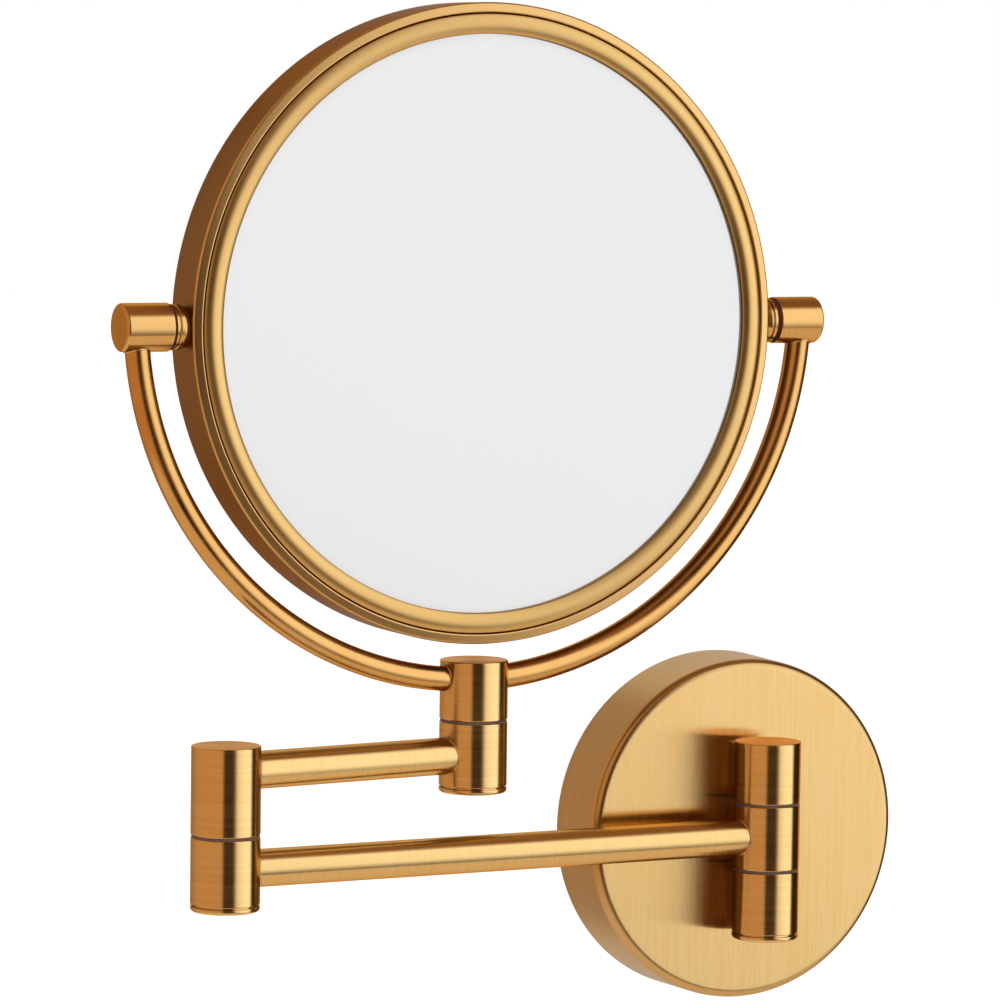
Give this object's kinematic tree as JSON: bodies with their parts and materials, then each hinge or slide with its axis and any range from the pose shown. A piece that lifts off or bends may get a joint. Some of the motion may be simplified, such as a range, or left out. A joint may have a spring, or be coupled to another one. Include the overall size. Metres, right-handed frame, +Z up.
{
  "type": "extendable shaving mirror",
  "caption": "Wall-mounted round two-sided shaving mirror that turns over in a half-ring yoke, on a double swing arm hinged to a round wall plate.",
  "frame": {"origin": "centre of the wall plate's back face, on the wall", "axes": "+Y into the wall, +Z up, +X to the right for someone facing the wall; the arms reach to -X"},
  "size_m": [0.2848, 0.0511, 0.3297],
  "materials": {
    "brushed_gold": "brushed, satin lacquer",
    "steel": "zinc plated",
    "spring_steel": "oiled",
    "bush_plastic": "smooth, dark",
    "looking_glass": "polished",
    "spacer_plastic": "moulded",
    "foam": "soft foam"
  },
  "bodies": {
    "wall_mount": {"wall_cover": "brushed_gold", "wall_bracket": "steel", "cover_set_screw": "steel", "knuckle_screws": "steel", "upper_wall_knuckle": "brushed_gold", "lower_wall_knuckle": "brushed_gold", "wall_hinge_pin": "steel", "wall_hinge_spring_washer": "spring_steel", "wall_hinge_cap": "brushed_gold"},
    "long_arm": {"long_arm_inner_knuckle": "brushed_gold", "upper_wall_bush": "bush_plastic", "lower_wall_bush": "bush_plastic", "long_arm_tube": "brushed_gold", "long_arm_outer_knuckle": "brushed_gold", "elbow_bush": "bush_plastic", "elbow_cap": "brushed_gold"},
    "short_arm": {"short_arm_inner_knuckle": "brushed_gold", "elbow_pin": "steel", "elbow_spring_washer": "spring_steel", "short_arm_tube": "brushed_gold", "short_arm_outer_knuckle": "brushed_gold", "swivel_bush": "bush_plastic", "swivel_cap": "brushed_gold"},
    "yoke": {"yoke_knuckle": "brushed_gold", "swivel_pin": "steel", "swivel_spring_washer": "spring_steel", "yoke_rod": "brushed_gold", "left_pivot_barrel": "brushed_gold", "right_pivot_barrel": "brushed_gold", "left_pivot_screw": "steel", "right_pivot_screw": "steel", "left_pivot_washer": "bush_plastic", "right_pivot_washer": "bush_plastic"},
    "mirror_head": {"head_band": "brushed_gold", "left_pivot_collar": "brushed_gold", "right_pivot_collar": "brushed_gold", "left_pivot_spring_washer": "spring_steel", "right_pivot_spring_washer": "spring_steel", "front_bezel": "brushed_gold", "front_glass": "looking_glass", "rear_bezel": "brushed_gold", "rear_glass": "looking_glass", "glass_spacer": "spacer_plastic", "glass_pad": "foam"}
  },
  "joints": [
    {"name": "wall_hinge", "type": "hinge", "parent": "wall_mount", "child": "long_arm", "pos_m": [0, -0.0401, 0], "axis": [0, 0, 1], "range_deg": [0, 180]},
    {"name": "elbow_hinge", "type": "hinge", "parent": "long_arm", "child": "short_arm", "pos_m": [-0.1947, -0.0401, 0], "axis": [0, 0, 1], "continuous": true},
    {"name": "yoke_swivel", "type": "hinge", "parent": "short_arm", "child": "yoke", "pos_m": [-0.10349, -0.02971, 0.0309], "axis": [0, 0, 1], "continuous": true},
    {"name": "head_tilt", "type": "hinge", "parent": "yoke", "child": "mirror_head", "pos_m": [-0.10349, -0.02971, 0.1699], "axis": [1, 0, 0], "continuous": true}
  ]
}
